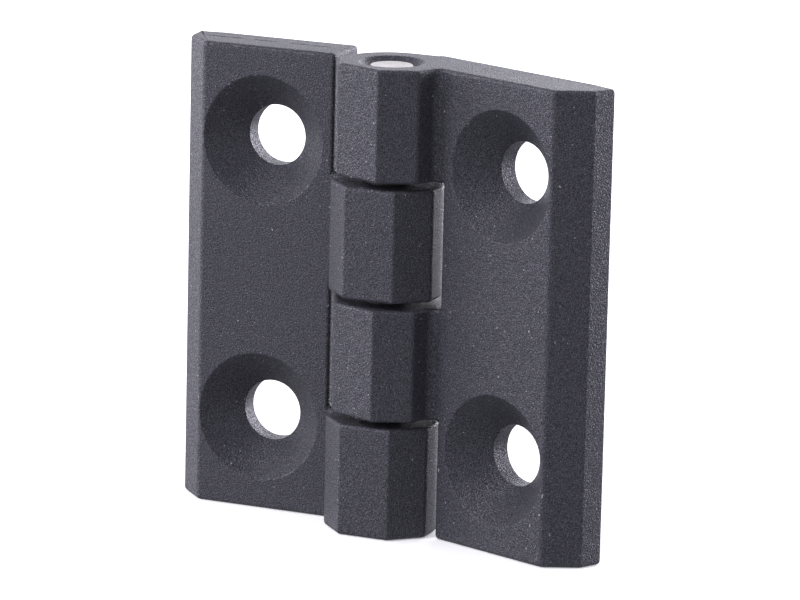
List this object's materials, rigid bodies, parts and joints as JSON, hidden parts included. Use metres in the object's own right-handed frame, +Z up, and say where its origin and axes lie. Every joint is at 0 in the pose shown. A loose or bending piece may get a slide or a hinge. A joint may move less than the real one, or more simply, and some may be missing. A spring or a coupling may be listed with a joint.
{
  "type": "door hinge",
  "caption": "Surface-mounted butt hinge: die-cast leaves with countersunk screw holes and interleaved knuckles that turn on a plain steel pin.",
  "frame": {"origin": "on the back face of the frame leaf, halfway between its two screw holes", "axes": "+Z up along the pin; +Y out of the back of the frame leaf, into the surface that it is screwed to; +X from the frame leaf towards the door leaf"},
  "size_m": [0.0507, 0.0133, 0.05],
  "materials": {
    "powder_coat": "black fine-texture powder coat on zinc die casting",
    "pin_steel": "plain stainless steel, turned end faces"
  },
  "bodies": {
    "frame_side": {"frame_leaf": "powder_coat", "hinge_pin": "pin_steel"},
    "door_side": {"door_leaf": "powder_coat"}
  },
  "joints": [
    {"name": "door_leaf_swing", "type": "hinge", "parent": "frame_side", "child": "door_side", "pos_m": [0.015, -0.00655, 0], "axis": [0, 0, -1], "range_deg": [-110, 160]}
  ]
}
